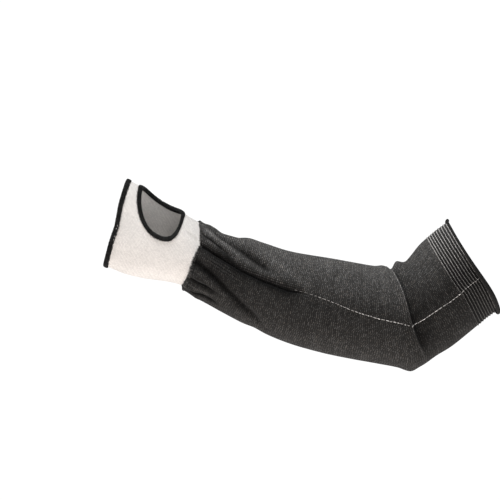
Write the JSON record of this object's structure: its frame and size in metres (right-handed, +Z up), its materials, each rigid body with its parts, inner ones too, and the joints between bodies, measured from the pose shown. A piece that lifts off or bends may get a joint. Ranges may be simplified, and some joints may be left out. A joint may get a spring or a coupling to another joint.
{
  "type": "cut resistant sleeve",
  "caption": "Knitted cut resistant arm sleeve with a thumb hole cuff and an elastic upper band, shaped as worn on a bent arm.",
  "frame": {"origin": "centre of the elbow, on the middle plane of the sleeve, where the lines along the forearm and the upper arm meet", "axes": "+X from the hand end towards the shoulder end, +Y from the palm side to the back of the hand, +Z up on the thumb side"},
  "size_m": [0.4166, 0.1062, 0.2021],
  "materials": {
    "white_knit": "matte fine rib knit",
    "black_binding": "matte overlocked yarn",
    "heather_knit": "matte speckled knit",
    "striped_elastic": "matte elastic knit with pale stripes"
  },
  "bodies": {
    "root": {"hand_cuff": "white_knit", "palm_edge_binding": "black_binding", "thumb_hole_binding": "black_binding", "arm_tube": "heather_knit", "elastic_band": "striped_elastic", "rolled_edge": "heather_knit"}
  },
  "joints": []
}
